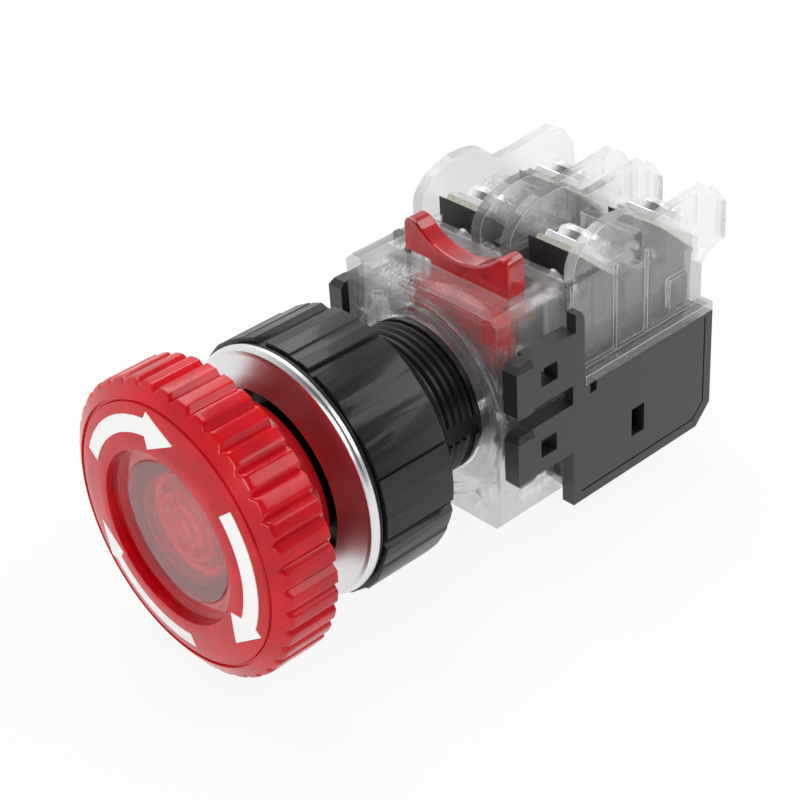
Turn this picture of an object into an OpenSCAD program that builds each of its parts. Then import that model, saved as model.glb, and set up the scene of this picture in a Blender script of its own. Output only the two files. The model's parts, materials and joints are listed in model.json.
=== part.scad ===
// Illuminated emergency stop button for a 22 mm panel hole: turn-to-release
// mushroom head, threaded barrel with lock nut, latch collar, and two contact
// blocks with clear terminal covers.
// Frame: origin on the barrel axis at the panel seat. +Y runs from the operator
// side to the back of the panel, +X is right and +Z is up.

/* [Mushroom head] */
// Largest radius over the grip lobes
grip_r = 20.5; // [20:0.1:21.5]
// Number of grip lobes
grip_lobes = 40; // [30:2:44]
// Front of the domed face, round the lens
face_front_y = -21.1; // [-21.6:0.1:-20.9]
// Edge of the domed face
face_edge_y = -20.1; // [-20.4:0.1:-19.9]
// Rear edge of the grip skirt
skirt_y = -11.8; // [-14:0.1:-11]
// Radius of the round lens in the face
lens_r = 11.85; // [10.5:0.05:12.5]
// Outer radius of the red stem behind the head
stem_r = 11.9; // [11.6:0.05:12]

/* [Motion] */
// Travel of the head when it is pushed in
press_travel = 4.4; // [3:0.1:4.4]
// Travel of the latch lever
latch_travel = 3; // [2:0.1:3]
// Travel of the lock nut along the barrel
nut_travel = 7; // [5:0.5:7]

/* [Barrel and nut] */
// Outer radius of the thread, for a 22.3 mm panel hole
thread_r = 11; // [10.9:0.05:11.05]
// Thread pitch
pitch = 1.25; // [1:0.05:1.5]
// Depth of the thread grooves
thread_depth = 0.5; // [0.3:0.05:0.6]
// Outer radius of the bezel ring
bezel_r = 17.4; // [17:0.1:18]
// Outer radius of the nut's lands
nut_r = 17.9; // [17.6:0.1:18.3]
// Rear edge of the nut's lands
nut_back_y = 10.6; // [10:0.1:11]

/* [Latch collar] */
// Width of the clear collar
collar_w = 27.8; // [27:0.1:28]
// Front face of the collar
collar_front_y = 22.5; // [22.4:0.1:22.7]
// Rear edge of the collar
collar_back_y = 35.5; // [35:0.1:35.6]
// Top and bottom of the collar
collar_top_z = 16.2; // [16:0.1:16.4]
collar_bottom_z = -16.3; // [-16.5:0.1:-16]

/* [Contact blocks] */
// Half width over the black side covers
cover_x = 16.95; // [16.5:0.05:17]
// Rear face of the blocks
block_back_y = 61.8; // [61:0.1:62]
// Top edge of the black side covers
cover_top_z = 1.7; // [1.5:0.1:1.9]
// Slope of the terminal seats
seat_tilt = 42; // [38:1:44]
// Distance from the centre plane to each plunger
plunger_x = 7; // [6.8:0.1:7.2]

/* [Hidden] */
$fn = 96;

fit = 0.05;            // radial clearance of a sliding fit
gap = 0.1;             // gap between pieces that must not touch
cut = 1;               // how far a cutting shape runs past a face

// Operator
front_crest_r = thread_r - 0.2;         // lower crests where the washer and nut start
face_edge_r = 17.8;                     // edge of the domed face
lens_y = face_front_y + 0.85;           // front of the sunk lens
lens_back_y = lens_y + 1;               // ledge that the lens sits on
web_y = lens_back_y + 0.8;              // back of the face
nut_hub_y = 14;                         // rear end of the nut's hub
full_thread_y = 14.2;                   // where the full crests start
thread_end_y = 21.6;
core_r = 8.9;                           // fat front of the core
core_shoulder_y = 8.3;                  // rear face of the fat front
core_tube_r = 6.4;
core_bore_r = 5.2;
core_flange_y = [-6.3, -5.1];
core_flange_r = stem_r - 0.7;           // flange inside the stem's rear lip
ledge_y = [26.5, 29.2];                 // ledge in the tail of the barrel
tail_r = 10;
tail_y = 24.5;
pusher_y = [29.7, 31];
plunger_tip_y = pusher_y[1] + gap;

// Slider
slider_y = [24.8, 26.8];
slider_x = [-3.5, 12.3];
lever_y = [27.9, 31.1];
lever_x = [-8.2, 11];
slot_x = [lever_x[0] - latch_travel - 0.2, lever_x[1] + 0.1];
latch_spring_z = 12.1;
latch_spring_y = 26.2;
latch_spring_end_x = -10.4;

// Contact blocks
base_front_y = 37.2;
base_x = [0.2, 13];
cavity_y = [43, 59.4];
cavity_z = [-11.2, 7.6];
fin_x = [13.1, 14.8];                   // outer fin
inner_fin_x = [1.9, 3.6];               // inner fin
seat_x = [5.1, 11.6];                   // terminal plates and seats
seat_front = [[39.2, 18.2], [55, 16]];  // front edge of each terminal seat (y, z)
seat_len = 8.2;
plate_t = 0.8;
washer_t = 1;
screw_r = 1.7;
bridge_y = 46;
tip_t = 0.5;
bridge_t = 0.7;
tip_gap = 0.06;
closed_y = bridge_y - 2 * tip_t - plate_t;                      // fixed contacts in front of the bridge
open_y = bridge_y + bridge_t + 2 * tip_t + press_travel + gap;  // fixed contacts behind the bridge
lamp_r = 3.4;
lamp_tube_r = 3.9;

// A solid of revolution about the Y axis from [radius, y] points
module turned(points) {
    rotate([-90, 0, 0]) rotate_extrude($fn = 180) polygon(points);
}

// A tube or rod along Y
module rod_y(r, y0, y1, bore = 0) {
    translate([0, y0, 0]) rotate([-90, 0, 0]) difference() {
        cylinder(r = r, h = y1 - y0);
        if (bore > 0) translate([0, 0, -cut]) cylinder(r = bore, h = y1 - y0 + 2 * cut);
    }
}

// A box from its lowest to its highest corner
module box(low, high) {
    translate(low) cube(high - low);
}

// A (y, z) outline pulled along X
module along_x(x0, x1) {
    translate([x0, 0, 0]) rotate([90, 0, 90]) linear_extrude(x1 - x0) children();
}

// A straight strip of thickness t on the left of the line from a to b
module strip(a, b, t) {
    d = (b - a) / norm(b - a);
    n = [-d[1], d[0]] * t;
    polygon([a, b, b + n, a + n]);
}

// Both mirror images of a right-hand shape
module both_sides() {
    for (side = [0, 1]) mirror([side, 0, 0]) children();
}

// A coil spring along +Z, made of short straight rods round a helix
module coil(r, wire_r, length, turns) {
    steps = 12;
    function at(i) = [r * cos(360 * i / steps), r * sin(360 * i / steps),
                      wire_r + (length - 2 * wire_r) * i / (turns * steps)];
    function ring(i) = [for (k = [0:5]) let (a = 60 * k, c = cos(360 * i / steps), s = sin(360 * i / steps))
        at(i) + wire_r * [cos(a) * c, cos(a) * s, sin(a)]];
    last = turns * steps;
    points = [for (i = [0:last]) each ring(i)];
    sides = [for (i = [0:last - 1]) for (k = [0:5]) let (n = (k + 1) % 6)
        [6 * i + k, 6 * i + n, 6 * i + 6 + n, 6 * i + 6 + k]];
    polyhedron(points, concat([[for (k = [0:5]) k]], [[for (k = [5:-1:0]) 6 * last + k]],
        [for (f = sides) [f[3], f[2], f[1], f[0]]]));
}

// ---- Mushroom head ----

// Outline of the grip: rounded lobes with narrow valleys between them
module grip_outline() {
    steps = 8;
    valley_depth = 0.75;
    pitch_angle = 360 / grip_lobes;
    function depth(k) = valley_depth * pow(cos(90 * min(1, min(k, steps - k) / (0.3 * steps))), 2);
    polygon([for (i = [0:grip_lobes * steps - 1])
        let (a = 3.4 + pitch_angle * i / steps, r = grip_r - depth(i % steps)) r * [cos(a), sin(a)]]);
}

// Front of the domed face at a radius
function face_y(r) = face_front_y + (face_edge_y - face_front_y) * (r - lens_r) / (face_edge_r - lens_r);

// Grip cap: domed face, a fine groove round it, a sloping shoulder and a lobed skirt
module knob_cap() {
    color([0.80, 0.10, 0.13]) difference() {
        intersection() {
            turned([
                [0, face_front_y], [lens_r, face_front_y], [face_edge_r, face_edge_y],
                [face_edge_r + 0.15, face_edge_y + 0.35], [face_edge_r + 0.4, face_edge_y + 0.35],
                [face_edge_r + 0.55, face_edge_y + 0.05], [19.95, -19.15], [grip_r - 0.2, -18.75],
                [grip_r, -18.1], [grip_r, skirt_y], [0, skirt_y]
            ]);
            translate([0, skirt_y + cut, 0]) rotate([90, 0, 0]) linear_extrude(12) grip_outline();
        }
        turned([[0, face_front_y - cut], [lens_r, face_front_y - cut], [lens_r, lens_back_y],
            [lens_r - 1.4, lens_back_y], [lens_r - 1.4, web_y], [18.3, web_y],
            [18.5, skirt_y + cut], [0, skirt_y + cut]]);
    }
}

// Clear red lens let into the face
module knob_lens() {
    color([0.75, 0.16, 0.2]) turned([
        [0, lens_y - 0.1], [8, lens_y - 0.05], [lens_r - fit, lens_y],
        [lens_r - fit, lens_back_y - fit], [0, lens_back_y - fit]
    ]);
}

// Ribbed diffuser behind the lens
module lens_diffuser() {
    color([0.85, 0.2, 0.2]) turned([
        [0, lens_back_y], [lens_r - 1.5, lens_back_y], [lens_r - 1.5, web_y], [7.6, web_y], [7.6, web_y - 0.4],
        [5, web_y - 0.4], [5, web_y - 0.1], [3, web_y - 0.1], [3, web_y - 0.4], [0, web_y - 0.4]
    ]);
}

// Three turn arrows printed on the domed face
module arrow_marks() {
    arc = 62;
    head = [12.6, 15.2, 17.35];
    band = [14.15, 16.35];
    layer = 0.12;
    module arrow() {
        turn = [for (a = [0:4:arc]) a];
        polygon(concat(
            [for (a = turn) band[1] * [cos(a), sin(a)]],
            [head[2] * [cos(arc), sin(arc)], head[1] * [cos(arc + 18.5), sin(arc + 18.5)],
             head[0] * [cos(arc), sin(arc)]],
            [for (i = [len(turn) - 1:-1:0]) band[0] * [cos(turn[i]), sin(turn[i])]]
        ));
    }
    color("white") intersection() {
        turned([
            [12.2, face_y(12.2)], [17.6, face_y(17.6)], [17.6, face_y(17.6) - layer], [12.2, face_y(12.2) - layer]
        ]);
        translate([0, face_edge_y + cut, 0]) rotate([90, 0, 0]) linear_extrude(4)
            for (i = [0:2]) mirror([1, 0]) rotate(22 + 120 * i) arrow();
    }
}

// Red stem that carries the cap, with a thin lip over the core's flange
module knob_stem() {
    color([0.78, 0.08, 0.1]) turned([
        [9.9, web_y + fit], [stem_r, web_y + fit], [stem_r, core_flange_y[1] + fit],
        [core_flange_r + gap, core_flange_y[1] + fit], [core_flange_r + gap, core_flange_y[0] - fit],
        [9.9, core_flange_y[0] - fit]
    ]);
}

// Cam sleeve inside the stem that lets the latched core go when the head is turned
module release_cam() {
    color([0.9, 0.9, 0.86]) difference() {
        turned([
            [7.6, -10], [9.85, -10], [9.85, -8.6], [7.6, -8.6], [7.6, 4], [6.4, 4], [6.4, -10]
        ]);
        for (i = [0:2]) rotate([0, 120 * i, 0]) translate([0, 1.4, 0]) along_x(5, 9)
            polygon([[0, -2], [3, -2], [3, 2], [1.6, 2]]);
    }
}

// ---- Core that slides in the barrel ----

// Black core: front flange, fat front and rear tube
module push_core() {
    color([0.13, 0.13, 0.13]) turned([
        [7.8, core_flange_y[0]], [core_flange_r, core_flange_y[0]], [core_flange_r, core_flange_y[1]],
        [core_r, core_flange_y[1]],
        [core_r, core_shoulder_y], [core_tube_r, core_shoulder_y], [core_tube_r, pusher_y[0]],
        [core_bore_r, pusher_y[0]], [core_bore_r, 6.9], [7.8, 6.9]
    ]);
}

// Winged plate on the rear of the core that pushes the plungers
module pusher_plate() {
    color([0.85, 0.85, 0.8]) difference() {
        union() {
            rod_y(core_tube_r, pusher_y[0], pusher_y[1]);
            both_sides() hull() {
                translate([plunger_x, pusher_y[0], 0]) rotate([-90, 0, 0]) cylinder(r = 2.6, h = 1.3, $fn = 32);
                translate([3, pusher_y[0], 0]) rotate([-90, 0, 0]) cylinder(r = 3, h = 1.3, $fn = 32);
            }
        }
        rod_y(4.6, pusher_y[0] - cut, pusher_y[1] + cut);
    }
}

// Torsion spring that turns the head back
module turn_spring() {
    color("silver") translate([0, 4.3, 0]) rotate([-90, 0, 0]) coil(7.1, 0.3, 2.4, 3);
}

// Spring that pushes the core forward
module return_spring() {
    color("silver") translate([0, core_shoulder_y + fit, 0]) rotate([-90, 0, 0])
        coil(7.7, 0.55, ledge_y[0] - core_shoulder_y - 2 * fit, 7);
}

// ---- Fixed operator body ----

// Satin aluminium ring, a shallow cone that rises towards the stem
module bezel_ring() {
    color([0.78, 0.78, 0.8]) turned([
        [12.7, -4.55], [13, -4.7], [14.5, -3.9], [bezel_r - 0.6, -2.75], [bezel_r, -2.35], [bezel_r, -1.8],
        [bezel_r - 0.1, -1.7], [13.5, -1.7], [13.5, -3.35], [12.7, -3.35]
    ]);
}

// Threaded barrel with the core's bore, a keyway and a plain tail
module barrel() {
    root_r = thread_r - thread_depth;
    color([0.12, 0.12, 0.12]) difference() {
        turned([
            [12.2, -3.3], [13.4, -3.3], [13.4, 0], [front_crest_r, 0], [front_crest_r, full_thread_y],
            [thread_r, full_thread_y], [thread_r, thread_end_y], [tail_r + 0.5, 22.2], [tail_r, tail_y],
            [tail_r, ledge_y[1]], [7, ledge_y[1]], [7, ledge_y[0]], [core_r + fit, ledge_y[0]],
            [core_r + fit, -0.6], [12.2, -0.6]
        ]);
        for (y = [full_thread_y - 0.4:-pitch:1]) thread_groove(root_r, y);
        for (y = [full_thread_y - 0.4 + pitch:pitch:thread_end_y - 1.5]) thread_groove(root_r, y);
        rotate([0, -1, 0]) box([root_r - 0.05, fit, -1.5], [thread_r + cut, 22.9, 1.5]);
        turned([[0, 27.2], [7.8, 27.2], [7.8, 28.1], [0, 28.1]]);
    }
}

module thread_groove(root_r, y) {
    turned([
        [thread_r + cut, y - 1.15], [root_r, y - 0.12], [root_r, y + 0.12], [thread_r + cut, y + 1.15]
    ]);
}

// Rubber ring that seals the head to the panel, with a wider lip in front
module panel_gasket() {
    color([0.1, 0.1, 0.1]) turned([
        [13.45, -1.65], [17.1, -1.65], [17.25, -1.45], [17.25, -1.1], [17.1, -1], [16.2, -1], [16.2, 0], [13.45, 0]
    ]);
}

// Open spring ring in the barrel's tail that keeps the core
module core_clip() {
    color("silver") difference() {
        rod_y(7.75, 27.25, 28.05, core_tube_r + fit);
        box([-2, 27, 4], [2, 29, 9]);
    }
}

// Thin washer keyed to the barrel, in the hollow front of the nut
module anti_turn_washer() {
    color([0.15, 0.15, 0.15]) union() {
        rod_y(16.2, gap, 0.9, thread_r + fit);
        rotate([0, -1, 0]) box([thread_r - 0.35, gap, -1.3], [thread_r + 1, 0.9, 1.3]);
    }
}

// Plastic lock nut: broad grip lands with channels between them, and a hub behind
module lock_nut() {
    channel_depth = 0.85;
    // Middle and width of each channel of one half turn
    channels = [[102, 5.5], [71, 3.6], [19.6, 1.4], [-11, 4.4], [-44, 3]];
    color([0.14, 0.14, 0.14]) difference() {
        turned([
            [thread_r + 0.08, 1], [16.4, 1], [16.4, -0.9], [nut_r - 0.3, -0.9], [nut_r, -0.6],
            [nut_r, nut_back_y - 0.3], [nut_r - 0.5, nut_back_y], [14.6, 12.8], [13.6, nut_hub_y],
            [thread_r + 0.08, nut_hub_y]
        ]);
        for (turn = [0, 180]) for (c = channels) rotate([0, -(c[0] + turn), 0]) {
            h = nut_r * sin(c[1] / 2);
            translate([0, -2, 0]) rotate([-90, 0, 0]) linear_extrude(16) polygon([
                [nut_r - channel_depth, h * 0.6], [nut_r + 1, h * 1.2], [nut_r + 1, -h * 1.6],
                [nut_r - channel_depth, -h * 0.8]
            ]);
        }
        for (turn = [0, 180]) rotate([0, -(46 + turn), 0]) translate([nut_r + 10.5, -2, 0])
            rotate([-90, 0, 0]) cylinder(r = 11, h = 16);
    }
}

// ---- Latch collar ----

// Clear collar that locks the contact blocks to the barrel
module latch_collar() {
    w = collar_w / 2;
    wall = 1.4;
    front_wall = 1.7;
    color([0.85, 0.88, 0.92, 0.4]) difference() {
        union() {
            translate([0, collar_front_y, 0]) rotate([-90, 0, 0]) linear_extrude(collar_back_y - collar_front_y)
                polygon([[-w + 1, -collar_top_z], [w - 1, -collar_top_z], [w, -collar_top_z + 1],
                    [w, -collar_bottom_z - 1], [w - 1, -collar_bottom_z], [-w + 1, -collar_bottom_z],
                    [-w, -collar_bottom_z - 1], [-w, -collar_top_z + 1]]);
            rod_y(13.2, collar_front_y - 0.7, collar_front_y + 1);
        }
        box([-w + wall, collar_front_y + front_wall, collar_bottom_z + wall],
            [w - wall, collar_back_y + cut, collar_top_z - wall - 0.6]);
        rod_y(thread_r + 0.4, collar_front_y - 2, collar_front_y + 3);
        box([slot_x[0], lever_y[0] - 0.15, 10], [slot_x[1], lever_y[1] + 0.15, collar_top_z + cut]);
        box([slot_x[1] - 3, lever_y[1], 10], [slot_x[1], 33.6, collar_top_z + cut]);
        both_sides() {
            box([w - wall - cut, 27.4, 4.6], [w + cut, 31.4, 9.4]);
            box([w - wall - cut, 27.2, -6.6], [w + cut, 31.2, -1.6]);
            box([w - wall - cut, 30.6, -12.8], [w + cut, 32.6, -8.6]);
            translate([9, 0, -13.2]) rod_y(1.1, collar_front_y - cut, collar_front_y + 1);
        }
    }
}

// Red slide with the thumb saddle: pushed to the left it frees the barrel
module latch_slider() {
    saddle_x = 1.9;
    saddle_r = 10.6;
    color([0.85, 0.08, 0.1]) union() {
        difference() {
            box([slider_x[0], slider_y[0], 3.6], [slider_x[1], slider_y[1], 14]);
            hull() for (x = [0, latch_travel]) translate([x, 0, 0])
                rod_y(thread_r + 0.35, slider_y[0] - cut, slider_y[1] + cut, 0, $fn = 32);
        }
        box([slider_x[0], slider_y[0], 12.6], [lever_x[1], lever_y[1], 14]);
        box([slider_x[0], lever_y[0], 13.9], [lever_x[1], lever_y[1], 17]);
        difference() {
            box([lever_x[0], lever_y[0], 16.4], [lever_x[1], lever_y[1], 21.4]);
            translate([saddle_x - 0.4, 0, 18.1 + saddle_r]) rod_y(saddle_r, lever_y[0] - cut, lever_y[1] + cut);
            translate([lever_x[0], 0, 21.4]) rotate([0, 45, 0]) box([-1.4, 20, -1.4], [1.4, 40, 1.4]);
            translate([lever_x[1], 0, 21.4]) rotate([0, 45, 0]) box([-1.4, 20, -1.4], [1.4, 40, 1.4]);
        }
    }
}

// Spring that holds the slide to the right
module latch_spring() {
    color("silver") translate([latch_spring_end_x, latch_spring_y, latch_spring_z]) rotate([0, 90, 0])
        coil(1.35, 0.24, slider_x[0] - fit - latch_spring_end_x, 8);
}

// ---- Contact blocks, drawn on the right and mirrored for the left ----

// Black side cover with the two hooked arms
module side_cover() {
    wall = 1.6;
    arm_x = 14.5;
    chamfer = 2.9;
    color([0.2, 0.2, 0.2]) difference() {
        union() {
            along_x(cover_x - wall, cover_x) polygon([
                [33.3, collar_bottom_z], [block_back_y - chamfer, collar_bottom_z],
                [block_back_y, collar_bottom_z + chamfer], [block_back_y, cover_top_z], [35.6, cover_top_z],
                [35.6, 12.4], [35, 13.4], [33.9, 13.4], [33.9, 10.8], [24, 10.8], [24, 3], [33.3, 3],
                [33.3, 0.1], [24, 0.1], [24, -7.6], [33.3, -7.6]
            ]);
            box([arm_x, 25.6, 3], [cover_x, 33.9, 10.8]);
            box([arm_x, 25.6, -7.6], [cover_x, 33.9, 0.1]);
            for (z = [3, -7.6]) along_x(15.1, 17.7) polygon([
                [22.2, z + 0.5], [22.9, z - 0.3], [24.8, z - 0.3], [25.4, z], [25.4, z + 7.6],
                [24.6, z + 7.8], [22.9, z + 7.8], [22.2, z + 7]
            ]);
            box([14.9, 33.3, collar_bottom_z], [cover_x, 34.6, -7.6]);
            box([0.1, 35.8, collar_bottom_z], [cover_x - 1, 58.8, collar_bottom_z + 1.3]);
            along_x(0.1, cover_x - 1) polygon([
                [58.7, collar_bottom_z], [block_back_y - chamfer, collar_bottom_z],
                [block_back_y, collar_bottom_z + chamfer], [block_back_y, cover_top_z],
                [block_back_y - 1.3, cover_top_z], [block_back_y - 1.3, collar_bottom_z + chamfer + 0.6],
                [block_back_y - chamfer - 0.6, collar_bottom_z + 1.3], [58.7, collar_bottom_z + 1.3]
            ]);
        }
        box([14, 27.3, 5.6], [19, 30.4, 8.3]);
        box([14, 27.1, -5.3], [19, 30.1, -2.5]);
        box([14, 45, -11], [19, 47.6, -6.6]);
        box([14, 36.6, 0.2], [19, 37.9, cover_top_z + cut]);
    }
}

// Point on a terminal seat, measured down its slope, and the seat's frame
module on_seat(row, along = seat_len / 2) {
    p = seat_front[row] + along * [cos(seat_tilt), -sin(seat_tilt)];
    translate([(seat_x[0] + seat_x[1]) / 2, p[0], p[1]]) rotate([-seat_tilt, 0, 0]) children();
}

function seat_end(row) = seat_front[row] + seat_len * [cos(seat_tilt), -sin(seat_tilt)];

// Dark base that carries the terminals and guides the plunger
module contact_base() {
    front = seat_front[0];
    rear = seat_front[1];
    color([0.32, 0.32, 0.34]) difference() {
        union() {
            along_x(base_x[0], base_x[1]) polygon([
                [base_front_y, -14.9], [57.9, -14.9], [60.4, -12.4], [60.4, 10.6], [55, 10.6], [53.4, 12.2], [47.4, 12.2],
                [seat_end(0)[0], seat_end(0)[1]], [43.4, 12.6], [39.2, 12.6], [base_front_y, 12.6]
            ]);
            along_x(3.75, base_x[1]) polygon([
                [39.2, 12], front, seat_end(0), [seat_end(0)[0], 12]
            ]);
            along_x(3.75, base_x[1]) polygon([[55, 10], rear, seat_end(1), [seat_end(1)[0] - 0.8, 10]]);
            box([base_x[0], base_front_y + 1, 12], [1.8, 44, 15.6]);
        }
        box([2.6, cavity_y[0], cavity_z[0]], [11.9, cavity_y[1], cavity_z[1]]);
        translate([plunger_x, 0, 0]) rod_y(2.2 + fit, base_front_y - cut, cavity_y[0] + cut);
        rod_y(lamp_tube_r + 0.1, base_front_y - cut, 43.6);
        for (row = [0, 1]) on_seat(row) translate([0, 0, -6]) cylinder(r = screw_r + fit, h = 8);
        box([seat_x[0] - fit, seat_end(0)[0] - 1.5, 5], [seat_x[1] + fit, seat_end(0)[0] - 0.5, 16]);
        box([9.3, 58.1, 5], [11.5, 59.1, 16]);
    }
}

// Clear terminal cover with two finger fins
module terminal_cover() {
    hump_y = 44;
    hump_z = 17.4;
    function profile(low) = concat(
        [[61.8, low], [61.8, 8.2], [63.4, 9.6], [66.7, 10.2], [66.7, 15.8], [64.6, 18.7], [62.6, 19.8],
         [52.8, 19.2], [51, 19.2]],
        [for (a = [60:12:180]) [hump_y + 8.1 * cos(a), hump_z + 5.2 * sin(a)]],
        [[hump_y - 8.1, low]]
    );
    color([0.9, 0.92, 0.94, 0.35]) difference() {
        union() {
            along_x(fin_x[0], fin_x[1]) polygon(profile(cover_top_z + 0.1));
            along_x(inner_fin_x[0], inner_fin_x[1]) polygon(profile(12.7));
            box([14, 35.9, cover_top_z + 0.05], [cover_x, block_back_y, cover_top_z + 1.4]);
            box([0.2, 35.9, 1.9], [fin_x[0] + 0.5, base_front_y - 0.1, 15.9]);
            box([0.2, 60.5, cover_top_z + 0.1], [fin_x[0] + 0.5, block_back_y, 10.4]);
            box([inner_fin_x[1] - 0.5, 49.6, 12.3], [fin_x[0] + 0.5, 51.2, 17.2]);
        }
        rod_y(lamp_tube_r + 0.4, 35, base_front_y + cut);
        translate([plunger_x, 0, 0]) rod_y(2.6, 35, base_front_y + cut);
    }
}

// Terminal strip: sloped seat, then a leg down to a silver contact tip facing the bridge
module front_terminal(contact_y, facing) {
    end = seat_end(0);
    leg_y = end[0] - 0.6;
    color([0.85, 0.83, 0.75]) difference() {
        union() {
            along_x(seat_x[0], seat_x[1]) strip(seat_front[0], end, plate_t);
            along_x(seat_x[0], seat_x[1]) polygon([
                [leg_y - plate_t, 4.4], [leg_y, 4.4], [leg_y, end[1] + 0.9], [leg_y - plate_t, end[1] + 0.9]
            ]);
            box([9.2, leg_y - plate_t, 3.6], [seat_x[1], contact_y + plate_t, 4.4]);
            box([5.5, contact_y, 3.6], [seat_x[1], contact_y + plate_t, 6.8]);
            translate([plunger_x, facing > 0 ? contact_y + plate_t : contact_y - tip_t, 5.4]) rod_y(1.2, 0, tip_t);
        }
        on_seat(0) translate([0, 0, -cut]) cylinder(r = screw_r + 0.1, h = 4);
    }
}

module rear_terminal(contact_y, facing) {
    end = seat_end(1);
    color([0.85, 0.83, 0.75]) difference() {
        union() {
            along_x(seat_x[0], seat_x[1]) strip(seat_front[1], end, plate_t);
            box([9.4, 58.2, -10.6], [11.4, 59, end[1] + 3]);
            box([5.5, contact_y, -10.6], [11.4, 59, -9.8]);
            box([5.5, contact_y, -10.6], [8.5, contact_y + plate_t, -3.6]);
            translate([plunger_x, facing > 0 ? contact_y + plate_t : contact_y - tip_t, -5.4]) rod_y(1.2, 0, tip_t);
        }
        on_seat(1) translate([0, 0, -cut]) cylinder(r = screw_r + 0.1, h = 4);
    }
}

// Serrated square washers under the screws
module terminal_washers() {
    color("silver") both_sides() for (row = [0, 1]) on_seat(row) translate([0, 0, plate_t + 0.02])
        difference() {
            translate([-3.1, -2.9, 0]) cube([6.2, 5.8, washer_t]);
            translate([0, 0, -cut]) cylinder(r = screw_r + 0.1, h = 3);
            for (i = [-2:2]) translate([1.3 * i, 2.9, washer_t / 2]) rotate([0, 0, 45]) cube([0.5, 0.5, 3], center = true);
        }
}

// Pan head terminal screws
module terminal_screws() {
    head_z = plate_t + washer_t + 0.04;
    color("silver") both_sides() for (row = [0, 1]) on_seat(row) difference() {
        union() {
            translate([0, 0, -5]) cylinder(r = screw_r, h = 5 + head_z);
            translate([0, 0, head_z]) cylinder(r = 2.9, h = 1.1);
            translate([0, 0, head_z + 1.1]) cylinder(r1 = 2.9, r2 = 2.1, h = 0.8);
        }
        for (a = [0, 90]) rotate([0, 0, a + 20]) translate([-1.7, -0.3, head_z + 0.8]) cube([3.4, 0.6, 2]);
    }
}

// Plunger with a waist for the moving contact
module plunger() {
    color([0.9, 0.9, 0.85]) translate([plunger_x, 0, 0]) {
        rod_y(2.2, plunger_tip_y, bridge_y - 0.3);
        rod_y(1.3, bridge_y - 1, 50);
        rod_y(2.3, 49.6, 50.6);
    }
}

// Moving contact: a bar across the plunger with two silver tips
module contact_bridge(facing) {
    color([0.8, 0.5, 0.3]) translate([plunger_x, bridge_y, 0]) {
        difference() {
            box([-1.5, 0, -7], [1.5, bridge_t, 7]);
            rod_y(1.35, -cut, bridge_t + cut);
        }
        for (z = [-5.4, 5.4]) translate([0, facing > 0 ? bridge_t : tip_gap - tip_t, z])
            rod_y(1.2, 0, tip_t - tip_gap);
    }
}

module contact_spring() {
    color("silver") translate([plunger_x, bridge_y + bridge_t + fit, 0]) rotate([-90, 0, 0])
        coil(1.75, 0.2, 49.6 - bridge_y - bridge_t - 2 * fit, 4);
}

module plunger_spring() {
    color("silver") translate([plunger_x, 50.65, 0]) rotate([-90, 0, 0]) coil(1.75, 0.22, cavity_y[1] - 50.7, 6);
}

// ---- Lamp ----

module lamp_holder() {
    color([0.9, 0.9, 0.85]) difference() {
        rod_y(lamp_tube_r, 12, 43.4);
        rod_y(lamp_r + fit, 11, 36);
    }
}

module led_lamp() {
    color([0.95, 0.9, 0.85]) union() {
        rod_y(lamp_r, 10, 24);
        rod_y(3.8, 0, 11.9);
        turned([[0, -5], [1.4, -4.7], [2.6, -3.9], [3.4, -2.4], [3.8, 0], [0, 0]]);
    }
}

// Two springy lamp contacts at the bottom of the holder
module lamp_contacts() {
    color([0.8, 0.6, 0.3]) for (z = [-1.6, 1.6]) translate([0, 0, z]) rod_y(0.6, 24.05, 35.9);
}

module right() { children(); }
module left() { mirror([1, 0, 0]) children(); }

knob_cap();
knob_lens();
lens_diffuser();
arrow_marks();
knob_stem();
release_cam();
push_core();
pusher_plate();
turn_spring();
return_spring();
bezel_ring();
barrel();
panel_gasket();
core_clip();
anti_turn_washer();
lock_nut();
latch_collar();
latch_slider();
latch_spring();
left() side_cover();  // side_cover_left
right() side_cover();  // side_cover_right
left() contact_base();  // contact_base_left
right() contact_base();  // contact_base_right
left() terminal_cover();  // terminal_cover_left
right() terminal_cover();  // terminal_cover_right
left() front_terminal(open_y, -1);  // front_terminal_left
right() front_terminal(closed_y, 1);  // front_terminal_right
left() rear_terminal(open_y, -1);  // rear_terminal_left
right() rear_terminal(closed_y, 1);  // rear_terminal_right
terminal_washers();
terminal_screws();
left() plunger();  // plunger_left
right() plunger();  // plunger_right
left() contact_bridge(1);  // contact_bridge_left
right() contact_bridge(-1);  // contact_bridge_right
left() contact_spring();  // contact_spring_left
right() contact_spring();  // contact_spring_right
left() plunger_spring();  // plunger_spring_left
right() plunger_spring();  // plunger_spring_right
lamp_holder();
led_lamp();
lamp_contacts();
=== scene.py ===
# %% [markdown]
# # An illuminated emergency stop button
# The button is a red mushroom head on a threaded barrel, with a lock nut, a clear latch collar and two
# contact blocks behind it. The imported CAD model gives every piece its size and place. This lesson loads
# it as a fixed frame, sets the camera and the studio, and then gives each piece its real finish,
# remodelling the ones whose rounded edges, lobes and thread show.

# %% Load the frame
import json
import math

import bpy
from mathutils import Matrix, Vector


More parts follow.
